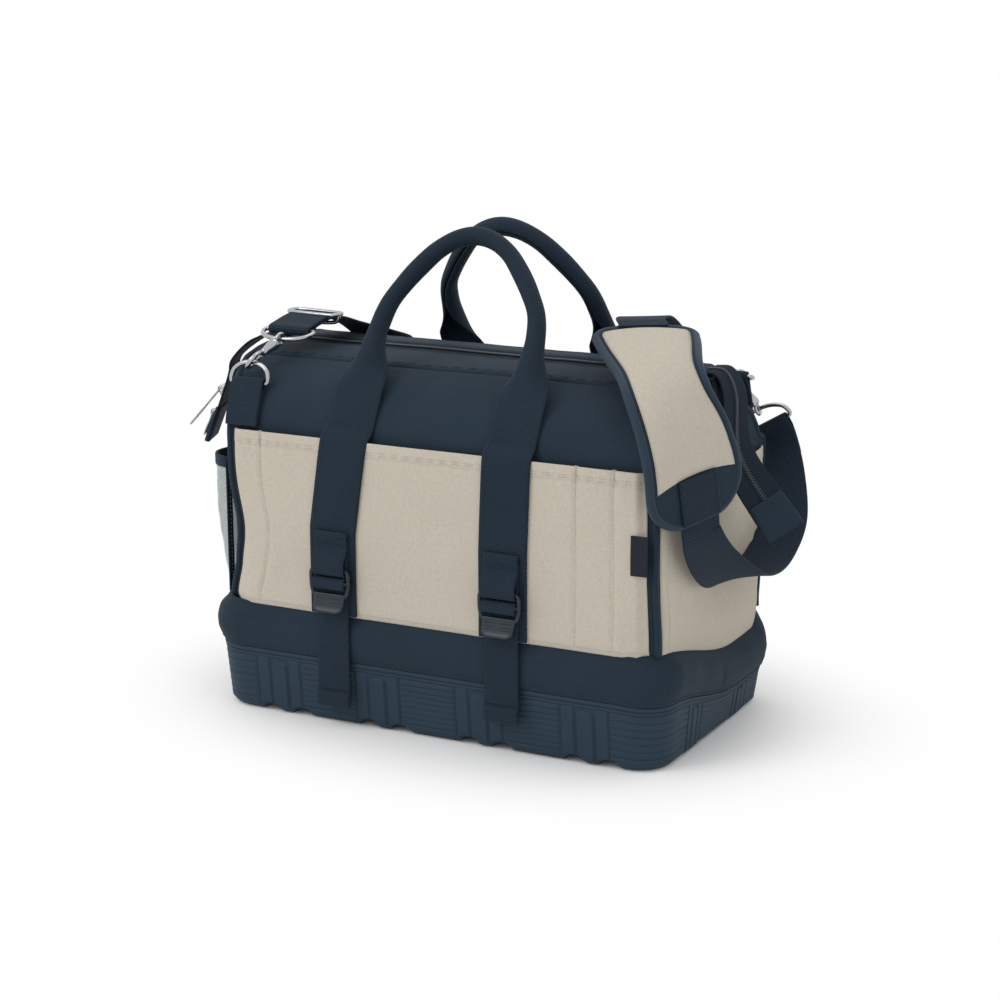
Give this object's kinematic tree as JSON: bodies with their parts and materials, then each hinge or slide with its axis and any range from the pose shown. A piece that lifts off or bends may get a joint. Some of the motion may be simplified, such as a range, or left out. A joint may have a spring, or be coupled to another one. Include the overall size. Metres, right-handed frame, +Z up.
{
  "type": "zippered tool bag",
  "caption": "Canvas tool bag on a ribbed moulded tub, with a zipped mouth, patch pockets, webbing handles, lashing straps and a padded shoulder strap.",
  "frame": {"origin": "middle of the underside of the moulded tub, on the ground", "axes": "+Z up, +X right along the bag, the front face looks along -Y"},
  "size_m": [0.6554, 0.3627, 0.486],
  "materials": {
    "tub": "moulded with a slight sheen",
    "board": "plain board",
    "canvas": "dense woven canvas",
    "patch": "brushed canvas",
    "net": "open mesh",
    "woven": "bare woven tag",
    "teeth": "moulded teeth on tape",
    "pad": "padded canvas over foam",
    "webbing": "ribbed webbing",
    "buckle": "moulded",
    "bright": "polished"
  },
  "bodies": {
    "root": {"base_tub": "tub", "floor_board": "board", "lower_band": "canvas", "front_panel": "canvas", "back_panel": "canvas", "front_top_flap": "canvas", "back_top_flap": "canvas", "right_end_panel": "canvas", "left_end_panel": "canvas", "right_piping": "canvas", "left_piping": "canvas", "front_zip_half": "teeth", "back_zip_half": "teeth", "front_pockets": "patch", "back_pockets": "patch", "right_end_pocket": "patch", "left_mesh_pocket": "net", "blank_tag": "woven", "front_left_webbing": "webbing", "front_right_webbing": "webbing", "back_left_webbing": "webbing", "back_right_webbing": "webbing", "left_ring_tab": "webbing", "right_ring_tab": "webbing", "left_swivel_eye": "bright", "right_swivel_eye": "bright", "left_strap_ring": "bright", "right_strap_ring": "bright", "shoulder_strap": "webbing", "shoulder_pad": "pad", "right_strap": "webbing", "strap_adjuster": "bright", "left_zip_tail": "canvas", "right_zip_tail": "canvas"},
    "front_handle_body": {"front_handle": "webbing"},
    "back_handle_body": {"back_handle": "webbing"},
    "front_left_lashing": {"front_left_buckle": "buckle", "front_left_tail": "webbing"},
    "front_right_lashing": {"front_right_buckle": "buckle", "front_right_tail": "webbing"},
    "back_left_lashing": {"back_left_buckle": "buckle", "back_left_tail": "webbing"},
    "back_right_lashing": {"back_right_buckle": "buckle", "back_right_tail": "webbing"},
    "left_ring_body": {"left_bag_ring": "bright"},
    "left_hook_body": {"left_hook": "bright"},
    "left_gate_body": {"left_hook_gate": "bright"},
    "right_ring_body": {"right_bag_ring": "bright"},
    "right_hook_body": {"right_hook": "bright"},
    "right_gate_body": {"right_hook_gate": "bright"},
    "upper_slider_body": {"upper_zip_slider": "bright"},
    "upper_pull_body": {"upper_zip_pull": "bright"},
    "lower_slider_body": {"lower_zip_slider": "bright"},
    "lower_pull_body": {"lower_zip_pull": "bright"}
  },
  "joints": [
    {"name": "front_handle_fold", "type": "hinge", "parent": "root", "child": "front_handle_body", "pos_m": [0, -0.12724, 0.318], "axis": [1, 0, 0], "range_deg": [-4, 150]},
    {"name": "back_handle_fold", "type": "hinge", "parent": "root", "child": "back_handle_body", "pos_m": [0, 0.12724, 0.318], "axis": [-1, 0, 0], "range_deg": [-4, 100]},
    {"name": "front_left_buckle_tip", "type": "hinge", "parent": "root", "child": "front_left_lashing", "pos_m": [-0.098, -0.1517, 0.16], "axis": [-1, 0, 0], "range_deg": [0, 50]},
    {"name": "front_right_buckle_tip", "type": "hinge", "parent": "root", "child": "front_right_lashing", "pos_m": [0.085, -0.1517, 0.16], "axis": [-1, 0, 0], "range_deg": [0, 50]},
    {"name": "back_left_buckle_tip", "type": "hinge", "parent": "root", "child": "back_left_lashing", "pos_m": [-0.085, 0.1517, 0.16], "axis": [1, 0, 0], "range_deg": [0, 50]},
    {"name": "back_right_buckle_tip", "type": "hinge", "parent": "root", "child": "back_right_lashing", "pos_m": [0.098, 0.1517, 0.16], "axis": [1, 0, 0], "range_deg": [0, 50]},
    {"name": "left_ring_swing", "type": "hinge", "parent": "root", "child": "left_ring_body", "pos_m": [-0.204, -0.11966, 0.32897], "axis": [-1, 0, 0], "range_deg": [0, 5]},
    {"name": "left_hook_swivel", "type": "hinge", "parent": "root", "child": "left_hook_body", "pos_m": [-0.20307, -0.11134, 0.34987], "axis": [0.2505, 0.8718, 0.4209], "range_deg": [-62, 2]},
    {"name": "left_gate_open", "type": "hinge", "parent": "left_hook_body", "child": "left_gate_body", "pos_m": [-0.20116, -0.09867, 0.35385], "axis": [-0.7756, -0.0794, 0.6262], "range_deg": [0, 30], "stiffness_Nm_per_rad": 0.01, "springref_deg": -17.19},
    {"name": "right_ring_swing", "type": "hinge", "parent": "root", "child": "right_ring_body", "pos_m": [0.204, 0.11966, 0.32897], "axis": [-1, 0, 0], "range_deg": [0, 4]},
    {"name": "right_hook_swivel", "type": "hinge", "parent": "root", "child": "right_hook_body", "pos_m": [0.2053, 0.1404, 0.31991], "axis": [0.3505, 0.4506, -0.8211], "range_deg": [-62, 2]},
    {"name": "right_gate_open", "type": "hinge", "parent": "right_hook_body", "child": "right_gate_body", "pos_m": [0.21094, 0.14804, 0.31044], "axis": [0.8354, -0.5468, 0.0565], "range_deg": [0, 30], "stiffness_Nm_per_rad": 0.01, "springref_deg": -17.19},
    {"name": "upper_slider_run", "type": "slide", "parent": "root", "child": "upper_slider_body", "axis": [0.2954, 0.1174, 0.9481], "range_m": [0, 0.016]},
    {"name": "upper_pull_swing", "type": "hinge", "parent": "upper_slider_body", "child": "upper_pull_body", "pos_m": [-0.3015, -0.02528, 0.29768], "axis": [-0.3539, 0.9352, -0.0055], "range_deg": [-8, 120]},
    {"name": "lower_slider_run", "type": "slide", "parent": "root", "child": "lower_slider_body", "axis": [0.2954, 0.1174, 0.9481], "range_m": [0, 0.01]},
    {"name": "lower_pull_swing", "type": "hinge", "parent": "lower_slider_body", "child": "lower_pull_body", "pos_m": [-0.30918, -0.02833, 0.27303], "axis": [-0.3539, 0.9352, -0.0055], "range_deg": [0, 26]}
  ]
}
